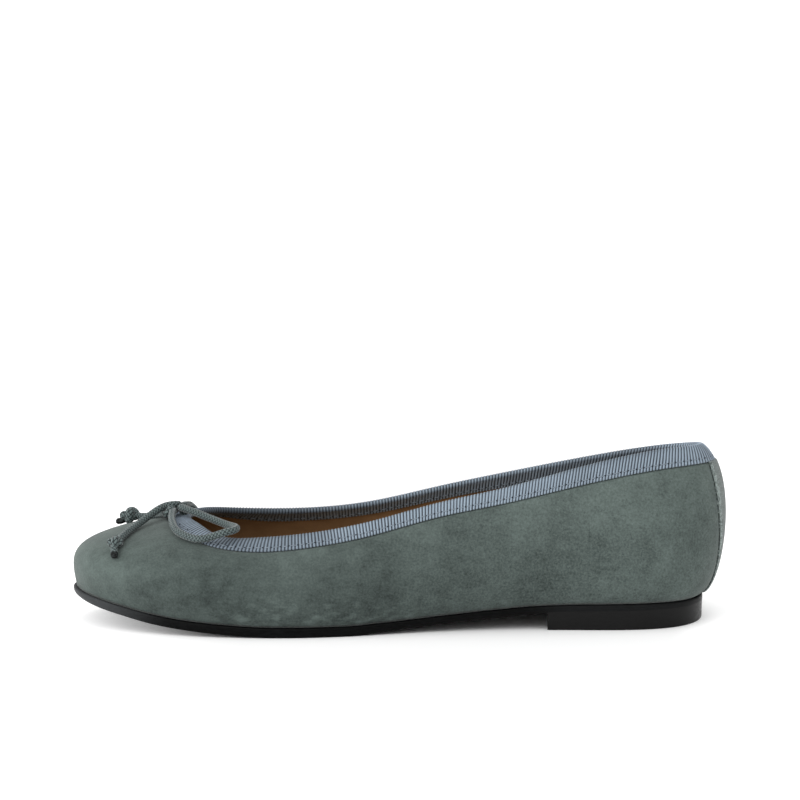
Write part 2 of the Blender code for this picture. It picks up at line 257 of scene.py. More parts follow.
# The drawstring: a round cord of braided yarn that runs inside the ribbon and comes out at the throat. Its
# two sides are tied in a soft bow, and each ends in an overhand knot with a short tail.
CORD = 2.8
CORD_SIDES = 32
BRAID_PITCH = 1.35
BRAID_PLAITS = 5
BRAID_DEPTH = 0.07
KNOT_CORD = 3.0
KNOT_LEAN = 0.5
KNOT_STEPS = 120
KNOT_HEIGHT = 1.6
TAIL_CORD = 2.7
BURNT_CORD = 2.85
FRAYED_CORD = 2.4
PATH_STEP = 0.3
BURN_STEP = 0.12
CORD_SHADE = (0.004, 0.006, 0.007)
CORD_LIGHT = (0.112, 0.145, 0.143)
BURNT_DARK = (0.003, 0.003, 0.003)
BURNT_LIGHT = (0.022, 0.027, 0.027)
NEAR_SIDE = [
    (-81.4, 0.7, 39.2),
    (-82.6, 0.6, 40.5),
    (-83.3, -0.9, 41.8),
    (-83.0, -3.0, 42.5),
    (-77.9, -8.0, 41.7),
    (-72.5, -12.2, 40.4),
    (-67.4, -16.3, 39.2),
    (-64.2, -19.6, 38.8),
    (-62.1, -23.2, 38.9),
    (-61.5, -26.9, 39.0),
    (-62.8, -30.1, 38.9),
    (-65.4, -31.6, 38.5),
    (-68.6, -31.7, 37.5),
    (-72.4, -31.2, 36.2),
    (-76.4, -30.0, 35.7),
    (-80.0, -27.8, 36.2),
    (-83.0, -24.8, 37.0),
    (-85.0, -20.6, 38.1),
    (-86.1, -15.6, 39.3),
    (-86.6, -10.8, 40.2),
    (-86.6, -6.2, 41.0),
    (-86.5, -2.8, 41.1),
    (-86.1, 0.2, 41.0),
    (-85.3, 2.4, 41.3),
    (-84.5, 2.5, 42.3),
    (-84.8, 1.0, 43.1),
    (-86.3, -0.2, 43.3),
    (-88.0, -0.9, 43.2),
    (-89.9, -1.4, 42.8),
    (-92.0, -3.0, 42.0),
    (-94.4, -4.6, 40.6),
    (-96.8, -6.8, 39.1),
    (-99.8, -10.3, 37.3),
    (-102.4, -14.3, 36.1),
    (-104.2, -17.9, 35.0),
    (-106.0, -21.4, 34.0),
    (-106.8, -23.2, 33.6),
]
FAR_SIDE = [
    (-81.4, -0.7, 39.2),
    (-82.8, -0.4, 40.6),
    (-83.4, 1.4, 41.8),
    (-82.7, 3.6, 42.3),
    (-81.8, 7.0, 41.8),
    (-81.8, 11.0, 41.0),
    (-81.8, 16.0, 40.2),
    (-81.4, 21.0, 39.2),
    (-80.4, 25.4, 37.4),
    (-79.8, 29.4, 35.6),
    (-80.2, 32.8, 33.1),
    (-82.6, 35.0, 29.9),
    (-86.2, 34.6, 29.0),
    (-89.2, 32.2, 30.8),
    (-91.0, 28.6, 33.3),
    (-91.6, 24.4, 35.4),
    (-91.2, 19.8, 37.1),
    (-90.0, 15.2, 38.3),
    (-88.6, 10.8, 39.3),
    (-87.1, 6.2, 40.8),
    (-86.6, 3.0, 42.0),
    (-87.0, 0.0, 42.3),
    (-87.6, -2.6, 41.8),
    (-88.5, -3.6, 40.6),
    (-89.3, -2.4, 39.9),
    (-89.6, 0.0, 40.0),
    (-90.7, 2.2, 39.3),
    (-92.2, 4.2, 38.7),
    (-94.6, 6.6, 37.8),
    (-96.9, 8.8, 37.1),
    (-99.2, 10.2, 36.7),
    (-101.0, 11.0, 36.8),
    (-102.6, 11.2, 37.1),
]
NEAR_TAIL = [(-107.4, -25.4, 32.8), (-107.5, -27.0, 31.6), (-107.4, -28.1, 30.4), (-107.3, -29.3, 29.0)]
NEAR_BURN = [(-107.4, -28.2, 30.2), (-107.3, -29.1, 29.3), (-107.3, -29.8, 28.5)]
FAR_TAIL = [(-105.2, 11.6, 35.6), (-106.8, 11.9, 34.9), (-108.2, 12.3, 34.5), (-109.5, 12.6, 34.6)]
NEAR_KNOT = (-107.3, -24.4, 33.3)
NEAR_KNOT_HALF = (3.1, 3.1, 2.4)
FAR_KNOT = (-103.9, 11.3, 36.9)
FAR_KNOT_HALF = (4.0, 3.3, 3.2)
CURVE_SHARES = np.arange(40)[:, None] / 40


def run_of(path):
    """How far along a path each of its points lies."""
    return np.concatenate([[0], np.cumsum(np.linalg.norm(np.diff(path, axis=0), axis=1))])


def smooth_path(points, step=PATH_STEP):
    """A smooth curve through the points, with a point every step or so."""
    points = np.asarray(points, float)
    ends = [2 * points[0] - points[1], *points, 2 * points[-1] - points[-2]]
    made = []
    t = CURVE_SHARES
    for a, b, c, d in zip(ends, ends[1:], ends[2:], ends[3:]):
        square = (2 * a - 5 * b + 4 * c - d) * t**2
        made.append((2 * b + (c - a) * t + square + (3 * b - a - 3 * c + d) * t**3) / 2)
    made = np.vstack([*made, points[-1:]])
    run = run_of(made)
    even = np.linspace(0, run[-1], max(2, round(run[-1] / step)))
    return np.stack([np.interp(even, run, column) for column in made.T], 1)


def braid(run, turn):
    """How far the braid's plaits stand out: two sets of yarns wind round the cord in opposite ways."""
    crossing = np.cos(math.pi * run / BRAID_PITCH * 2) * np.cos(math.tau * BRAID_PLAITS * turn)
    return BRAID_DEPTH * (np.abs(crossing) - 0.5)


def braided(name, path, finish, diameter=CORD, ends=(0.35, 0.35)):
    """A cord along a path, with each end rounded in from that share of its radius."""
    run = run_of(path)
    tangents = np.gradient(path, axis=0)
    tangents /= np.linalg.norm(tangents, axis=1, keepdims=True)
    side = np.cross(tangents[0], (0.0, 0.3, 1.0))
    turn = np.linspace(0, 1, CORD_SIDES + 1)
    radius = diameter / 2
    rings = []
    for place, tangent, along in zip(path, tangents, run):
        side = side - tangent * (side @ tangent)
        side /= np.linalg.norm(side)
        other = np.cross(tangent, side)
        near_end = min(along, run[-1] - along) / radius
        pulled = ends[0] if along < run[-1] / 2 else ends[1]
        round_off = math.sqrt(1 - (1 - min(near_end, 1)) ** 2)
        size = radius * (round_off * (1 - pulled) + pulled if 0 < near_end else 0)
        reach = size + braid(along, turn) * min(near_end, 1)
        reach = np.maximum(reach, 0) if near_end > 0 else 0 * reach
        angle = math.tau * turn[:, None]
        rings.append(place + reach[:, None] * (np.cos(angle) * side + np.sin(angle) * other))
    return bent_grid(name, np.array(rings), chart(run[:, None], turn), finish)


def overhand(name, middle, half, finish):
    """A tight overhand knot: a trefoil of cord pressed into the size that the knot takes up."""
    angle = np.linspace(0, math.tau, KNOT_STEPS + 1)
    trefoil = np.stack(
        [
            np.sin(angle) + 2 * np.sin(2 * angle),
            np.cos(angle) - 2 * np.cos(2 * angle),
            -KNOT_HEIGHT * np.sin(3 * angle),
        ],
        1,
    )
    cosine = math.cos(KNOT_LEAN)
    sine = math.sin(KNOT_LEAN)
    path = trefoil @ np.array([[cosine, 0, sine], [0, 1, 0], [-sine, 0, cosine]])
    room = np.asarray(half) - KNOT_CORD / 2
    path = path / np.abs(path).max(0) * room + middle
    run = run_of(path)
    tangents = np.roll(path[:-1], -1, 0) - np.roll(path[:-1], 1, 0)
    tangents = np.vstack([tangents, tangents[:1]])
    tangents /= np.linalg.norm(tangents, axis=1, keepdims=True)
    turn = np.linspace(0, 1, CORD_SIDES + 1)
    rings = []
    for place, tangent, along in zip(path, tangents, run):
        side = np.cross(tangent, place - middle + (0.01, 0.0, 0.0))
        side /= np.linalg.norm(side)
        other = np.cross(tangent, side)
        reach = KNOT_CORD / 2 + braid(along, turn)[:, None]
        angle = math.tau * turn[:, None]
        rings.append(place + reach * (np.cos(angle) * side + np.sin(angle) * other))
    rings[-1] = rings[0]
    return bent_grid(name, np.array(rings), chart(run[:, None], turn), finish)


cord_yarn = Finish("grey_green_cord", 0.9, Sheen_Weight=0.35, Sheen_Roughness=0.35, Specular_IOR_Level=0.3)
left_run = cord_yarn.along / BRAID_PITCH + cord_yarn.across * BRAID_PLAITS
right_run = cord_yarn.along / BRAID_PITCH - cord_yarn.across * BRAID_PLAITS
left_cell = left_run.math("FLOOR")
right_cell = right_run.math("FLOOR")
left_over = ((left_cell + right_cell) * 0.5).math("FRACT") * 2.0
left_ridge = ((left_run - left_cell) * math.pi).math("SINE")
right_ridge = ((right_run - right_cell) * math.pi).math("SINE")
yarn_top = left_ridge * left_over + right_ridge * (1.0 - left_over)
fuzz = cord_yarn.place.cells(0.35, detail=3.0, roughness=0.7)
worn = cord_yarn.place.cells(5.0, detail=3.0)
# Painted shade and light: the yarn is painted near black in the hollows between its plaits and lighter on
# their tops.
yarn_light = (yarn_top * 1.6 + (fuzz - 0.5) * 1.2 + (worn - 0.5) * 0.7 - 0.50).above_zero()
cord_yarn.feed("Base Color", yarn_light.mix(CORD_SHADE, CORD_LIGHT))
cord_yarn.relief(yarn_top * 0.7 + fuzz * 0.3, 0.3, strength=0.8)

burnt = Finish("burnt_cord_end", 0.6, Specular_IOR_Level=0.12)
burnt.feed("Base Color", burnt.place.cells(0.8).between(0.35, 0.7).mix(BURNT_DARK, BURNT_LIGHT))
burnt.relief(burnt.place.cells(0.6, detail=3.0), 0.2)

near_path = smooth_path(NEAR_SIDE)
near_cord = braided("near_cord", near_path, cord_yarn)
far_path = smooth_path(FAR_SIDE)
far_cord = braided("far_cord", far_path, cord_yarn)
near_knot = overhand("near_knot", NEAR_KNOT, NEAR_KNOT_HALF, cord_yarn)
far_knot = overhand("far_knot", FAR_KNOT, FAR_KNOT_HALF, cord_yarn)
near_tail = braided("near_tip", smooth_path(NEAR_TAIL), cord_yarn, TAIL_CORD, ends=(0.4, 0.8))
near_burn = braided("near_burn", smooth_path(NEAR_BURN, BURN_STEP), burnt, BURNT_CORD, ends=(0.9, 0.5))
far_tail = braided("far_tip", smooth_path(FAR_TAIL), burnt, FRAYED_CORD, ends=(0.4, 0.0))
fit(near_cord, "grey_green_cord", "near_loop", "near_end", "bow_knot")
fit(far_cord, "grey_green_cord", "far_loop", "far_end")
fit(near_knot, "grey_green_cord", "near_end_knot")
fit(far_knot, "grey_green_cord", "far_end_knot")
fit(near_tail, "grey_green_cord", "near_tail")
fit(near_burn, "grey_green_cord")
fit(far_tail, "grey_green_cord", "far_tail")


# The upper: soft suede lasted over a rounded toe, in one piece from the toe to the strip up the back. Its
# lower edge is turned in over the sole.
Station = namedtuple(
    "Station",
    "x in_y out_y top_x top_in_y top_out_y top_in_z top_out_z flare rise shoulder drop ribbon",
)
# The last has a row for each station from the middle of the heel to the tip of the toe. x, in_y and out_y are
# the sole's edge, the top_ columns are the topline, the next four shape the side wall between them, and ribbon
# is how far the ribbon reaches down.
LAST = [
    Station(115.8, 0.0, 0.0, 115.2, 0.0, 0.0, 66.7, 66.7, 8.6, 0.4, 14.0, 10.0, 7.3),
    Station(108.0, 18.8, 18.8, 110.8, 10.6, 10.6, 67.4, 65.2, 8.0, 1.0, 12.0, 11.0, 7.3),
    Station(88.0, 27.0, 27.3, 95.0, 18.2, 18.2, 66.5, 62.2, 7.0, 2.0, 8.5, 14.0, 7.3),
    Station(62.0, 27.2, 28.6, 68.0, 22.3, 22.3, 61.0, 56.8, 6.5, 4.5, 8.0, 16.0, 6.7),
    Station(36.0, 28.2, 31.8, 40.0, 24.9, 24.9, 53.7, 50.8, 6.5, 5.5, 8.5, 14.0, 5.6),
    Station(12.0, 31.6, 36.0, 14.0, 26.6, 26.7, 48.1, 45.0, 6.0, 6.0, 9.0, 11.5, 5.2),
    Station(-12.0, 37.0, 38.8, -11.0, 28.1, 28.1, 41.5, 39.2, 5.6, 6.0, 10.0, 8.0, 5.7),
    Station(-36.0, 41.3, 39.3, -34.0, 29.2, 29.2, 37.4, 36.5, 5.5, 6.0, 12.0, 6.0, 6.9),
    Station(-60.0, 41.2, 37.3, -52.5, 28.6, 28.3, 35.6, 36.3, 5.2, 7.5, 13.4, 5.4, 7.5),
    Station(-83.0, 38.0, 33.0, -67.0, 25.3, 24.0, 35.4, 37.4, 5.0, 10.0, 22.5, 5.0, 7.4),
    Station(-103.0, 31.3, 24.8, -75.4, 16.8, 16.2, 38.0, 38.8, 4.0, 13.0, 34.0, 6.8, 7.3),
    Station(-117.5, 22.0, 13.6, -79.8, 8.3, 8.1, 39.0, 39.1, 3.4, 14.8, 42.5, 7.6, 7.3),
    Station(-124.6, 4.0, -4.0, -81.2, 0.0, 0.0, 39.3, 39.3, 3.2, 15.6, 45.5, 7.8, 7.3),
]
Profile = namedtuple("Profile", "x bed tread")
SOLE = [
    Profile(-125.0, 13.4, 11.2),
    Profile(-117.0, 12.2, 9.1),
    Profile(-105.0, 9.8, 6.4),
    Profile(-93.0, 7.5, 3.9),
    Profile(-80.0, 5.8, 2.2),
    Profile(-64.0, 4.5, 0.8),
    Profile(-48.0, 3.8, 0.0),
    Profile(-20.0, 3.7, 0.0),
    Profile(-8.0, 4.3, 0.9),
    Profile(7.0, 5.4, 2.4),
    Profile(23.0, 6.7, 3.8),
    Profile(38.0, 8.0, 5.1),
    Profile(53.0, 9.1, 6.2),
    Profile(70.0, 9.6, 6.7),
    Profile(95.0, 9.8, 6.9),
    Profile(116.0, 9.5, 6.6),
]
SAMPLES = 24
WALL_ROWS = 81
FEATHER_INSET = 1.2
FEATHER_LIFT = 0.3
OUTWARD_LEAN = 12.0
SUEDE = 0.9
SUEDE_ROWS = 60
INNER_ROW_SKIP = 3
RECESS = 0.3
GROOVE = 0.35
GROOVE_DEPTH = 0.4
TURNED_IN = 0.8
SUEDE_DARK = (0.018, 0.025, 0.023)
SUEDE_LIGHT = (0.107, 0.137, 0.126)


def closed_curve(rows, samples):
    """A smooth closed curve through the rows, with that many samples for each row."""
    rows = np.asarray(rows, float)
    one = np.eye(len(rows))
    pulls = np.linalg.solve((4 * one + np.roll(one, 1, 0) + np.roll(one, -1, 0)) / 6, rows)
    t = np.arange(samples) / samples
    weights = [(1 - t) ** 3, 3 * t**3 - 6 * t**2 + 4, -3 * t**3 + 3 * t**2 + 3 * t + 1, t**3]
    near = np.stack([np.roll(pulls, 1 - k, 0) for k in range(4)], 1)
    return np.einsum("kt,nkd->ntd", np.array(weights) / 6, near).reshape(len(rows) * samples, -1)


def side_profile(x, column):
    """The height of that column of SOLE at x, with no overshoot, so a level stretch stays level."""
    xs = np.array([row.x for row in SOLE])
    zs = np.array([getattr(row, column) for row in SOLE])
    step = np.diff(zs) / np.diff(xs)
    slope = np.zeros(len(xs))
    same_way = step[:-1] * step[1:] > 0
    slope[1:-1][same_way] = (2 * step[:-1] * step[1:] / (step[:-1] + step[1:]))[same_way]
    slope[0] = step[0]
    slope[-1] = step[-1]
    x = np.clip(x, xs[0], xs[-1])
    i = np.clip(np.searchsorted(xs, x) - 1, 0, len(xs) - 2)
    width = xs[i + 1] - xs[i]
    t = (x - xs[i]) / width
    start = zs[i] * (1 + 2 * t) + slope[i] * width * t
    end = zs[i + 1] * (3 - 2 * t) - slope[i + 1] * width * (1 - t)
    return start * (1 - t) ** 2 + end * t**2


def unit(vectors):
    return vectors / np.linalg.norm(vectors, axis=-1, keepdims=True)


inner_side = [
    (s.x, -s.in_y, s.top_x, -s.top_in_y, s.top_in_z, s.flare, s.rise, s.shoulder, s.drop, s.ribbon)
    for s in LAST
]
outer_side = [
    (s.x, s.out_y, s.top_x, s.top_out_y, s.top_out_z, s.flare, s.rise, s.shoulder, s.drop, s.ribbon)
    for s in LAST[-2:0:-1]
]
rounds = closed_curve(inner_side + outer_side, SAMPLES)
edge_line = rounds[:, :2]
topline = rounds[:, 2:5]
flare, rise, shoulder, drop, ribbon_depth = rounds[:, 5:, None].transpose(1, 0, 2)
edge_out = np.roll(edge_line, -1, 0) - np.roll(edge_line, 1, 0)
edge_out = unit(np.stack([-edge_out[:, 1], edge_out[:, 0]], 1))


def sole_edge(inset=0.0):
    """The sole's outline in plan, moved in by inset."""
    return edge_line - inset * edge_out


def make_wall():
    """The outside of the upper: a curve up the side wall at each place round the shoe, with its normals."""
    foot = sole_edge(FEATHER_INSET)
    top = topline[:, :2]
    lean = unit(foot - top + OUTWARD_LEAN * edge_out)
    foot_z = side_profile(foot[:, 0], "bed") + FEATHER_LIFT
    handles = [
        np.column_stack([foot, foot_z]),
        np.column_stack([foot + edge_out * flare, foot_z + rise[:, 0]]),
        np.column_stack([top + lean * shoulder, topline[:, 2] - drop[:, 0]]),
        topline,
    ]
    t = np.linspace(0, 1, WALL_ROWS)
    weights = [(1 - t) ** 3, 3 * t * (1 - t) ** 2, 3 * t**2 * (1 - t), t**3]
    curves = np.einsum("kt,ksd->std", np.array(weights), np.array(handles))
    around = np.roll(curves, -1, 0) - np.roll(curves, 1, 0)
    up = np.gradient(curves, axis=1)
    return np.dstack([curves, unit(np.cross(up, around))])


WALL = make_wall()


def wall_at(turns, depths_of):
    """Places on the wall and their normals: a row for each turn round the shoe, at depths below its top."""
    places = []
    for turn in turns:
        start = int(turn * len(WALL)) % len(WALL)
        after = (start + 1) % len(WALL)
        share = turn * len(WALL) % 1
        curve = (1 - share) * WALL[start] + share * WALL[after]
        ribbon = float((1 - share) * ribbon_depth[start, 0] + share * ribbon_depth[after, 0])
        climb = run_of(curve[:, :3])
        wanted = climb[-1] - np.asarray(depths_of(climb[-1], ribbon))
        places.append(np.stack([np.interp(wanted, climb, column) for column in curve.T], 1))
    places = np.array(places)
    return places[..., :3], unit(places[..., 3:])


def run_round(line):
    """How far along a closed line each of its points lies, with its whole length last."""
    return run_of(np.vstack([line, line[:1]]))


suede = Finish("grey_green_suede", 0.95, Sheen_Weight=0.12, Sheen_Roughness=0.45, Specular_IOR_Level=0.3)
patches = suede.place.cells(26.0, detail=3.0, roughness=0.55, distortion=0.4)
blotches = suede.place.cells(7.0, detail=4.0, roughness=0.6)
strokes = suede.place.stretched(0.5, 1.0, 1.3).cells(3.2, detail=5.0, roughness=0.65)
nap = suede.place.cells(0.85, detail=3.0, roughness=0.8)
coarse = (patches - 0.5) * 0.7 + (blotches - 0.5) * 0.55
rougher = suede.place.along("X", -60.0, 80.0) * 0.8 + 0.8
tone = coarse + (strokes - 0.5) * 0.40 + (nap - 0.5) * rougher + 0.68
# Painted light and shade: the next mask darkens the middle of the shoe, so the toe and heel ends read lighter.
painted_midfoot_shade = suede.place.along("X", -122.0, -68.0) - suede.place.along("X", 20.0, 120.0) * 0.7
forefoot = suede.place.along("X", -85.0, -55.0) - suede.place.along("X", -5.0, 25.0)
by_edge = 1.0 - suede.place.along("Z", 6.0, 20.0)
pulls = suede.place.stretched(1.0, 1.0, 2.4).cells(5.0, detail=3.0).between(0.42, 0.70)
pulls = pulls * by_edge * forefoot
# Painted light and shade: below, the middle of the shoe is darkened and the suede grows lighter toward the
# top.
tone = tone - painted_midfoot_shade * 0.25 + suede.place.along("Z", 0.0, 60.0) * 0.30 - 0.15 + pulls * 0.38
# Painted shade low on the wall round the toe.
painted_toe_shade = (1.0 - suede.place.along("Z", 12.0, 24.0)) * (1.0 - suede.place.along("X", -105.0, -85.0))
# Painted highlight along the top of the quarter.
quarter = suede.place.along("X", 20.0, 50.0) - suede.place.along("X", 70.0, 88.0)
# Painted light low on the heel end, turning to painted shade higher up.
painted_heel_light_and_shade = suede.place.along("X", 75.0, 105.0) * (0.06 - suede.place.along("Z", 16.0, 50.0) * 0.17)
tone = tone - painted_toe_shade * 0.20 + suede.place.along("Z", 34.0, 48.0) * quarter * 0.10 + painted_heel_light_and_shade
suede.feed("Base Color", tone.above_zero().mix(SUEDE_DARK, SUEDE_LIGHT))
suede.relief(nap * 0.6 + strokes * 0.4, 0.35, strength=0.6)

UPPER_COLUMNS = 432
turns = np.linspace(0, 1, UPPER_COLUMNS + 1)

Crease = namedtuple("Crease", "x height half_length half_width lean depth")
CREASES = [
    Crease(11.0, 22.0, 5.0, 1.6, 62.0, 0.30),
    Crease(16.0, 17.5, 4.0, 1.4, 50.0, -0.22),
    Crease(6.0, 29.0, 6.0, 2.4, 70.0, 0.22),
    Crease(-30.0, 9.0, 6.5, 1.5, 12.0, 0.30),
    Crease(-44.0, 8.2, 5.0, 1.4, -8.0, 0.26),
    Crease(-18.0, 10.5, 5.0, 1.6, 20.0, 0.22),
    Crease(-70.0, 21.0, 8.0, 2.6, -55.0, 0.28),
    Crease(-79.0, 24.0, 7.0, 2.4, -48.0, 0.24),
    Crease(-58.0, 17.0, 7.0, 2.6, -60.0, -0.22),
    Crease(-88.0, 20.0, 6.0, 2.2, -35.0, 0.20),
    Crease(38.0, 31.0, 9.0, 3.0, 35.0, 0.20),
    Crease(60.0, 20.0, 9.0, 3.0, 15.0, 0.18),
]


def creased(places):
    """How far the suede sinks in at each place: soft folds from wear on the inner side."""
    sunk = np.zeros(places.shape[:2])
    for crease in CREASES:
        x = places[..., 0] - crease.x
        z = places[..., 2] - crease.height
        turned = math.radians(crease.lean)
        along = (x * math.cos(turned) + z * math.sin(turned)) / crease.half_length
        off = (z * math.cos(turned) - x * math.sin(turned)) / crease.half_width
        sunk += crease.depth * np.exp(-(along**2) - off**2) * (places[..., 1] < 0)
    return sunk[..., None]


def suede_rows(length, ribbon):
    """Depths of the suede's rows, from the sole up to the groove under the ribbon and on to the topline."""
    groove = ribbon + GROOVE
    bare = length - (length - groove - 0.4) * np.linspace(0, 1, SUEDE_ROWS) ** 0.9
    return [*bare, groove + 0.1, groove, ribbon - 1.0, ribbon / 2, 0.4]


grid, normals = wall_at(turns, suede_rows)
recess = np.zeros(grid.shape[1])
recess[-5:-3] = (0.12, GROOVE_DEPTH)
recess[-3:] = RECESS + 0.1
outside = grid - normals * (recess[:, None] + creased(grid))
outside[:, 0, 2] -= 0.25
inside = (grid - normals * (SUEDE + 0.1))[:, ::-INNER_ROW_SKIP]
margin = outside[:, :1] + (0, 0, TURNED_IN) - normals[:, :1] * SUEDE
sections = np.concatenate([outside, inside, margin, outside[:, :1]], 1)
down = np.linspace(0, 1, sections.shape[1])
upper = bent_grid("suede_upper", sections, chart(turns[:, None], down), suede)
fit(upper, "grey_green_suede", "upper")


# The lining: smooth tan leather glued inside the suede, from under the ribbon down to the sock that the foot
# stands on. It shows on the far side of the opening.
LINING = 0.5
LINING_OUT = SUEDE + 0.15
LINING_IN = LINING_OUT + LINING
LINING_ROWS = 34
LINING_TOP = 0.8
LINING_FOOT = 1.2
LEATHER_DARK = (0.180, 0.104, 0.047)
LEATHER_LIGHT = (0.290, 0.176, 0.088)
leather = Finish("tan_leather", 0.5, Specular_IOR_Level=0.35)
grain = leather.place.cells(0.9, detail=4.0, roughness=0.65)
cloud = leather.place.cells(22.0, detail=3.0)
leather_tone = (grain * 0.25 + cloud * 0.9).between(0.35, 0.85)
leather.feed("Base Color", leather_tone.mix(LEATHER_DARK, LEATHER_LIGHT))
leather.feed("Roughness", grain.between(0.3, 0.7) * 0.2 + 0.42)
leather.relief(grain, 0.12, strength=0.5)


def lining_rows(length, ribbon):
    return length - (length - LINING_TOP) * np.linspace(0, 1, LINING_ROWS)


grid, normals = wall_at(turns, lining_rows)
floor_z = side_profile(grid[..., 0], "bed") + LINING_FOOT
outer_face = grid - normals * LINING_OUT
inner_face = grid - normals * LINING_IN
outer_face[..., 2] = np.maximum(outer_face[..., 2], floor_z)
inner_face[..., 2] = np.maximum(inner_face[..., 2], floor_z + 0.4)
sections = np.concatenate([inner_face, outer_face[:, ::-1], inner_face[:, :1]], 1)
down = np.linspace(0, 1, sections.shape[1])
lining = bent_grid("lining", sections, chart(turns[:, None], down), leather)
fit(lining, "tan_leather")


# The back strip: a tapered strip of the same suede, sewn over the seam up the back of the heel. Its raw edges
# stand up a little, with a painted highlight just inside each and a painted shadow along its very side.
STRIP_TOP = 15.0
STRIP_BOTTOM = 4.5
STRIP_TAPER = 1.2
STRIP_WALL = 0.9
STRIP_LAP = 0.4
STRIP_UNDER = 0.15
STRIP_ROWS = 60
STRIP_COLUMNS = 24
STRIP_DARK = (0.020, 0.028, 0.026)
STRIP_LIGHT = (0.270, 0.320, 0.305)
back_run = run_round(WALL[:, WALL_ROWS // 2, :3])
back_turns = np.linspace(0, 1, len(WALL) + 1)


def turn_at(distance):
    """Where round the shoe a place is that lies that far from the middle of the back, half way up."""
    return np.interp(distance % back_run[-1], back_run, back_turns)


strip_suede = Finish("suede_strip", 0.95, Sheen_Weight=0.3, Sheen_Roughness=0.4, Specular_IOR_Level=0.3)
strip_nap = strip_suede.place.cells(0.9, detail=4.0, roughness=0.8)
strip_patch = strip_suede.place.cells(9.0, detail=4.0, roughness=0.6)
to_side = strip_suede.across.math("ABSOLUTE")
# Painted highlight just inside each raw edge, and painted shadow along its very side.
edge_highlight_and_shadow = to_side.between(0.76, 0.90) - to_side.between(0.965, 0.99) * 2.6
strip_tone = (strip_patch - 0.5) * 0.35 + (strip_nap - 0.5) * (edge_highlight_and_shadow * 5.0 + 1.0) + edge_highlight_and_shadow * 0.28 + 0.37
strip_suede.feed("Base Color", strip_tone.above_zero().mix(STRIP_DARK, STRIP_LIGHT))
strip_suede.relief(strip_nap, 0.6, strength=0.9)

across = np.linspace(-1, 1, STRIP_COLUMNS + 1)
down_share = np.linspace(0, 1, STRIP_ROWS + 1)
half_width = STRIP_TOP + (STRIP_BOTTOM - STRIP_TOP) * down_share**STRIP_TAPER


def strip_depths(length, ribbon):
    start = ribbon - STRIP_LAP
    return start + (length - start) * down_share


outer_rows = []
step = np.arange(STRIP_ROWS + 1)
for side in across:
    places, strip_normals = wall_at(turn_at(half_width * side), strip_depths)
    outer_rows.append(np.hstack([places[step, step], strip_normals[step, step]]))
outer_rows = np.array(outer_rows)
strip_place = outer_rows[..., :3]
strip_normal = unit(outer_rows[..., 3:])
thick = STRIP_WALL * np.sqrt(1 - 0.85 * np.abs(across) ** 10)[:, None, None]
thick = thick * np.clip(0.5 + down_share * 30, 0, 1)[None, :, None]
top_face = strip_place + strip_normal * thick
top_face[..., 2] = np.maximum(top_face[..., 2], side_profile(top_face[..., 0], "bed") + 0.15)
bottom_face = strip_place - strip_normal * STRIP_UNDER
top_face[:, -1] = bottom_face[:, -1]
top_face[:, 0] = bottom_face[:, 0]
sections = np.concatenate([top_face, bottom_face[::-1], top_face[:1]], 0)
side_uv = np.concatenate([across, across[::-1], across[:1]])
strip = bent_grid("back_strip", sections, chart(down_share, side_uv[:, None]), strip_suede)
fit(strip, "grey_green_suede")


# The binding: grosgrain ribbon folded over the topline, which also holds the drawstring. Its ribs run over
# the fold, and one row of fine stitches near the lower edge goes through both legs.
RIB = 1.22
RIB_STEPS = 4
RIB_DEPTH = 0.14
RIBBON = 0.55
SEAM_HEIGHT = 1.7
SEAM_DIP = 0.10
RIBBON_DARK = (0.012, 0.019, 0.028)
RIBBON_LIGHT = (0.224, 0.280, 0.338)
ribbon = Finish("blue_grey_ribbon", 0.62, Sheen_Weight=0.2, Sheen_Roughness=0.4, Specular_IOR_Level=0.4)
sway = (ribbon.place.cells(7.0) - 0.5) * 0.4
# Painted shade in the hollows between the ribs.
painted_rib_shade = (ribbon.along + sway).ridges(RIB).between(0.0, 0.9)
thread = ribbon.along.ridges(RIB / 3) * ribbon.across.ridges(0.34)
# Painted shade in the dip along the seam.
seam_dip_shade = ribbon.across.between(SEAM_HEIGHT - 0.5, SEAM_HEIGHT)
seam_dip_shade = seam_dip_shade - ribbon.across.between(SEAM_HEIGHT, SEAM_HEIGHT + 0.5)
lint = ribbon.place.cells(0.5, detail=3.0, roughness=0.7)
fade = ribbon.place.cells(16.0, detail=3.0)
# Painted light: the ribbon is lighter toward the heel, and lighter still at its end.
painted_light_toward_heel = ribbon.place.along("X", -75.0, 20.0) * 0.62 - ribbon.place.along("X", 45.0, 70.0) * 0.18
painted_light_at_heel = ribbon.place.along("X", 94.0, 112.0) * 0.68
# Painted light round the throat.
painted_light_at_throat = (1.0 - ribbon.place.along("X", -77.0, -67.0)) * 0.36
# Painted shade over the top of the fold.
painted_shade_over_fold = ribbon.across.between(5.0, 8.5)
ribbon_tone = painted_rib_shade * 0.95 + thread * 0.10 + (lint - 0.5) * 0.5 + (fade - 0.5) * 0.4 - seam_dip_shade * 0.12 + 0.02
ribbon_tone = ribbon_tone * (painted_light_toward_heel + painted_light_at_heel + painted_light_at_throat + 0.54 - painted_shade_over_fold * 0.32)
ribbon.feed("Base Color", ribbon_tone.above_zero().mix(RIBBON_DARK, RIBBON_LIGHT))
ribbon.relief(thread * 0.6 + lint * 0.4, 0.12, strength=0.6)

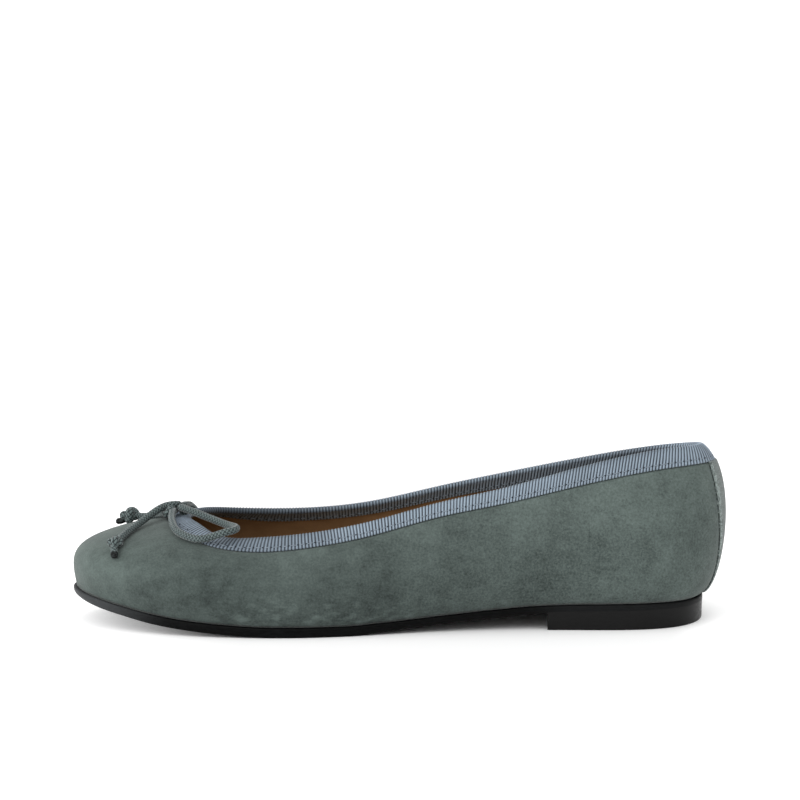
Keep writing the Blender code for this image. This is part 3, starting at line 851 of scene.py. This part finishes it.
top_run = run_round(WALL[:, -1, :3])
ribs = round(top_run[-1] / RIB)
rib_run = np.linspace(0, top_run[-1], ribs * RIB_STEPS + 1)
rib_turns = np.interp(rib_run, top_run, np.linspace(0, 1, len(WALL) + 1))
rib_turns[-1] = 0.0
LEG_SHARES = np.array([1.0, 0.98, 0.9, 0.8, 0.66, 0.5, 0.35, 0.2, 0.08, 0.0])
SLANT = 0.0042
SLANT_TURNS = (0.0, 0.22, 0.36, 0.44, 0.5, 0.56, 0.64, 0.78, 1.0)
SLANT_SHARES = (0.0, 0.0, -0.7, -1.0, 0.0, 1.0, 0.7, 0.0, 0.0)
FOLD_ANGLES = [math.radians(a) for a in (22, 45, 68, 90, 112, 135, 158)]
LEG = 7.0
EDGE_ROUND = 0.25
FOLD_HEIGHT = 9.0
BACK_HEIGHT = 5.0
BACK_ROWS = (0, 5, 9)
slant = SLANT * np.interp(rib_turns, SLANT_TURNS, SLANT_SHARES)
leg_rows = []
for share in LEG_SHARES:
    leg_rows.append(wall_at((rib_turns + slant * share) % 1, lambda length, ribbon: (ribbon * share,)))
grid, normals = (np.concatenate(rows, 1) for rows in zip(*leg_rows))
up = unit(grid[:, -1] - grid[:, -2])
outer_in = 0.05 - RECESS
outer_out = outer_in + RIBBON
inner_in = -(LINING_IN + 0.05)
inner_out = inner_in - RIBBON
middle = (outer_out + inner_out) / 2
half = (outer_out - inner_out) / 2
rib_lift = RIB_DEPTH * np.cos(math.tau * rib_run / rib_run[-1] * ribs)[:, None, None]
seam_dip = SEAM_DIP * np.exp(-(((1 - LEG_SHARES) * LEG - SEAM_HEIGHT) ** 2) / 0.3)[:, None]
edge_round = np.zeros((len(LEG_SHARES), 1))
edge_round[0] = EDGE_ROUND
outer_leg = grid + normals * (outer_out - edge_round - seam_dip + rib_lift)
inner_leg = grid + normals * (inner_out + edge_round + seam_dip - rib_lift)
fold = np.stack(
    [
        grid[:, -1]
        + normals[:, -1] * (middle + (half + rib_lift[:, 0]) * math.cos(a))
        + up * (0.5 + RIBBON + rib_lift[:, 0]) * math.sin(a)
        for a in FOLD_ANGLES
    ],
    1,
)
inner_back = (grid + normals * inner_in)[:, BACK_ROWS]
outer_back = (grid + normals * outer_in)[:, BACK_ROWS[::-1]]
sections = np.concatenate([outer_leg, fold, inner_leg[:, ::-1], inner_back, outer_back, outer_leg[:, :1]], 1)
depth_round = np.interp(rib_turns, np.linspace(0, 1, len(WALL)), ribbon_depth[:, 0])
leg_heights = depth_round[:, None] * (1 - LEG_SHARES)
heights = np.concatenate(
    [
        leg_heights,
        np.full((len(rib_run), len(FOLD_ANGLES)), FOLD_HEIGHT),
        leg_heights[:, ::-1],
        np.full((len(rib_run), 2 * len(BACK_ROWS)), BACK_HEIGHT),
        leg_heights[:, :1],
    ],
    1,
)
even_run = rib_run / rib_run[-1] * ribs * RIB
binding = bent_grid("ribbon_binding", sections, chart(even_run[:, None], heights), ribbon)
fit(binding, "blue_grey_ribbon", "collar_binding")

STITCH = 2.3
STITCH_GAP = 0.75
STITCH_THICK = 0.42
THREAD_DARK = (0.110, 0.135, 0.165)
THREAD_LIGHT = (0.210, 0.250, 0.290)
sewing = Finish("ribbon_thread", 0.7)
sewing.feed("Base Color", sewing.place.cells(0.6).mix(THREAD_DARK, THREAD_LIGHT))
# Painted shade: small near-black beads between the stitches stand in for the shade in the needle holes.
hole_shade = Finish("painted_hole_shade", 0.9, Base_Color=(0.010, 0.013, 0.018, 1.0), Specular_IOR_Level=0.1)


def sewn(name, run_line, place_at, finish, size, shift=0.0):
    """A row of beads along a seam, one for each stitch: that long, wide and thick."""
    bm = bmesh.new()
    count = round(run_line / (STITCH + STITCH_GAP))
    for k in range(count):
        start, along, out = place_at((k + shift) / count)
        bead = bmesh.ops.create_uvsphere(bm, u_segments=8, v_segments=6, radius=0.5)["verts"]
        side = np.cross(along, out)
        for vert in bead:
            x, y, z = vert.co
            vert.co = (start + along * z * size[0] + side * x * size[1] + out * y * size[2]) * MM
    return finished(name, bm, finish)


seam_line = wall_at(rib_turns[:-1], lambda length, ribbon: (ribbon - SEAM_HEIGHT,))
stitch_places, stitch_normals = (line[:, 0] for line in seam_line)


def stitch_at(lift):
    def place(share):
        k = int(share * len(stitch_places))
        along = stitch_places[(k + 2) % len(stitch_places)] - stitch_places[k - 2]
        out = stitch_normals[k]
        return stitch_places[k] + out * lift, along / np.linalg.norm(along), out

    return place


bead = (STITCH, STITCH_THICK, STITCH_THICK)
hole_shade_size = (STITCH_GAP * 0.8, STITCH_THICK * 1.1, 0.24)
fit(sewn("outer_stitches", rib_run[-1], stitch_at(outer_out - 0.02), sewing, bead), "blue_grey_ribbon")
fit(sewn("inner_stitches", rib_run[-1], stitch_at(inner_out + 0.02), sewing, bead), "blue_grey_ribbon")
fit(sewn("outer_hole_shades", rib_run[-1], stitch_at(outer_out + 0.06), hole_shade, hole_shade_size, 0.5), "blue_grey_ribbon")
fit(sewn("inner_hole_shades", rib_run[-1], stitch_at(inner_out - 0.06), hole_shade, hole_shade_size, 0.5), "blue_grey_ribbon")


# The sock: tan leather over the board that the foot stands on. It is glued down, and its soft edge meets
# the lining all round.
SOCK_UNDER = 1.8
SOCK_TOP = 4.0
SOCK_EDGE = 3.4


def plate(name, outline, rows, finish):
    """A plate inside an outline, from its middle line on top, over its edge and back underneath.

    Each row has an inset from the outline, a height, and how far it is from the edge to the middle line.
    """
    loops = []
    for inset, height_of, to_middle in rows:
        edge = outline(inset)
        middle = (edge + np.roll(edge[::-1], 1, 0)) / 2
        loop = edge * (1 - to_middle) + middle * to_middle
        loops.append(np.column_stack([loop, height_of(loop[:, 0])]))
    sections = np.stack(loops, 1)
    sections = np.concatenate([sections, sections[:1]], 0)
    down = np.linspace(0, 1, sections.shape[1])
    round_share = np.linspace(0, 1, sections.shape[0])
    return bent_grid(name, sections, chart(round_share[:, None], down), finish)


def above(column, offset):
    return lambda x: side_profile(x, column) + offset


def lining_edge(inset):
    """The lining's inside in plan at the height of the sock, moved in by inset."""
    low = WALL[:, : WALL_ROWS // 2]
    inside = low[..., :3] - unit(low[..., 3:]) * (LINING_IN + inset)
    edge = []
    for height, curve in zip(side_profile(WALL[:, 0, 0], "bed") + SOCK_EDGE, inside):
        edge.append([np.interp(height, curve[:, 2], curve[:, k]) for k in (0, 1)])
    return np.array(edge)


sock = plate(
    "sock",
    lining_edge,
    [
        *[(1.2, above("bed", SOCK_TOP), m) for m in np.linspace(1, 0, 8)],
        (0.6, above("bed", SOCK_TOP - 0.2), 0.0),
        (0.1, above("bed", SOCK_TOP - 0.5), 0.0),
        (0.0, above("bed", SOCK_TOP - 0.9), 0.0),
        (0.9, above("bed", SOCK_UNDER + 0.1), 0.0),
        *[(0.9, above("bed", SOCK_UNDER), m) for m in np.linspace(0, 1, 4)],
    ],
    leather,
)
fit(sock, "tan_leather", "insole")


# The outsole: a thin sheet of black rubber, cut flush with the suede's edge and buffed. It springs up at the
# toe, touches the floor under the ball and lifts at the waist.
SOLE_ROUND = 0.8
SOLE_BLACK = (0.001, 0.001, 0.001)
DUST_AND_SHEEN_GREY = (0.045, 0.048, 0.050)
black = Finish("black_sole", 0.42, Specular_IOR_Level=0.05)
buffed = black.place.stretched(1.0, 1.0, 6.0).cells(2.5, detail=4.0, roughness=0.6)
dust = black.place.cells(0.7, detail=3.0, roughness=0.7)
# Painted sheen: the sole's edge is painted greyer at the toe, mixed with the real dust and buffing marks.
painted_toe_sheen = 1.0 - black.place.along("X", -118.0, -85.0)
dust_and_sheen = (buffed * 0.6 + dust * 0.4).between(0.35, 0.75) * 0.1 + painted_toe_sheen * (buffed * 0.5 + 0.6)
# The sole is also made lighter toward the heel.
dust_and_sheen = dust_and_sheen + black.place.along("X", 45.0, 65.0) * 0.13
black.feed("Base Color", dust_and_sheen.mix(SOLE_BLACK, DUST_AND_SHEEN_GREY))
black.feed("Roughness", buffed.between(0.3, 0.7) * 0.16 + 0.34)
black.relief(buffed * 0.5 + dust * 0.5, 0.08, strength=0.5)
outsole = plate(
    "sole",
    sole_edge,
    [
        *[(0.8, above("bed", 0.0), m) for m in np.linspace(1, 0, 5)],
        (0.35, above("bed", -0.08), 0.0),
        (0.1, above("bed", -0.3), 0.0),
        (0.0, above("bed", -0.7), 0.0),
        (0.0, above("tread", 1.0), 0.0),
        (0.12, above("tread", 0.5), 0.0),
        (0.35, above("tread", 0.15), 0.0),
        (SOLE_ROUND, above("tread", 0.0), 0.0),
        *[(SOLE_ROUND, above("tread", 0.0), m) for m in np.linspace(0.1, 1, 8)],
    ],
    black,
)
fit(outsole, "black_sole", "outsole")


# The heel: a low block of black rubber under the sole, with its front face hollowed by a round cut.
BREAST_X = 58.0
BREAST_RADIUS = 150.0
BREAST_SIDES = 720
HEEL_SINK = 0.95
HEEL_LEAST = 3.0
HEEL_CREASE = 35.0
HEEL_DARK = (0.005, 0.005, 0.005)
HEEL_LIGHT = (0.011, 0.011, 0.011)
heel_black = Finish("black_heel", 0.36, Specular_IOR_Level=0.10)
lift = heel_black.place.stretched(1.0, 1.0, 5.0).cells(3.0, detail=4.0, roughness=0.6)
heel_black.feed("Base Color", lift.mix(HEEL_DARK, HEEL_LIGHT))
heel_black.feed("Roughness", lift.between(0.3, 0.7) * 0.14 + 0.30)
heel_black.relief(lift, 0.06, strength=0.5)


def heel_top(x):
    return np.maximum(side_profile(x, "tread") + HEEL_SINK, HEEL_LEAST)


def level(height):
    return lambda x: np.full_like(x, height)


heel = plate(
    "heel_block",
    sole_edge,
    [
        *[(0.5, heel_top, m) for m in np.linspace(1, 0, 5)],
        (0.1, heel_top, 0.0),
        (0.08, lambda x: heel_top(x) - 0.4, 0.0),
        (0.25, level(0.5), 0.0),
        (0.45, level(0.12), 0.0),
        (0.8, level(0.0), 0.0),
        *[(0.8, level(0.0), m) for m in np.linspace(0.2, 1, 5)],
    ],
    heel_black,
)
bm = bmesh.new()
bmesh.ops.create_cone(
    bm,
    cap_ends=True,
    segments=BREAST_SIDES,
    radius1=BREAST_RADIUS * MM,
    radius2=BREAST_RADIUS * MM,
    depth=0.06,
)
bmesh.ops.translate(bm, vec=((BREAST_X - BREAST_RADIUS) * MM, 0, 0), verts=bm.verts)
breast = finished("breast_cutter", bm, heel_black)
cut = heel.modifiers.new("breast", "BOOLEAN")
cut.operation = "DIFFERENCE"
cut.solver = "EXACT"
cut.object = breast
bpy.context.view_layer.update()
carved = bpy.data.meshes.new_from_object(heel.evaluated_get(bpy.context.evaluated_depsgraph_get()))
heel.modifiers.clear()
heel.data = carved
heel.data.shade_smooth()
heel.data.set_sharp_from_angle(angle=math.radians(HEEL_CREASE))
bpy.data.objects.remove(breast, do_unlink=True)
fit(heel, "black_heel", "heel")
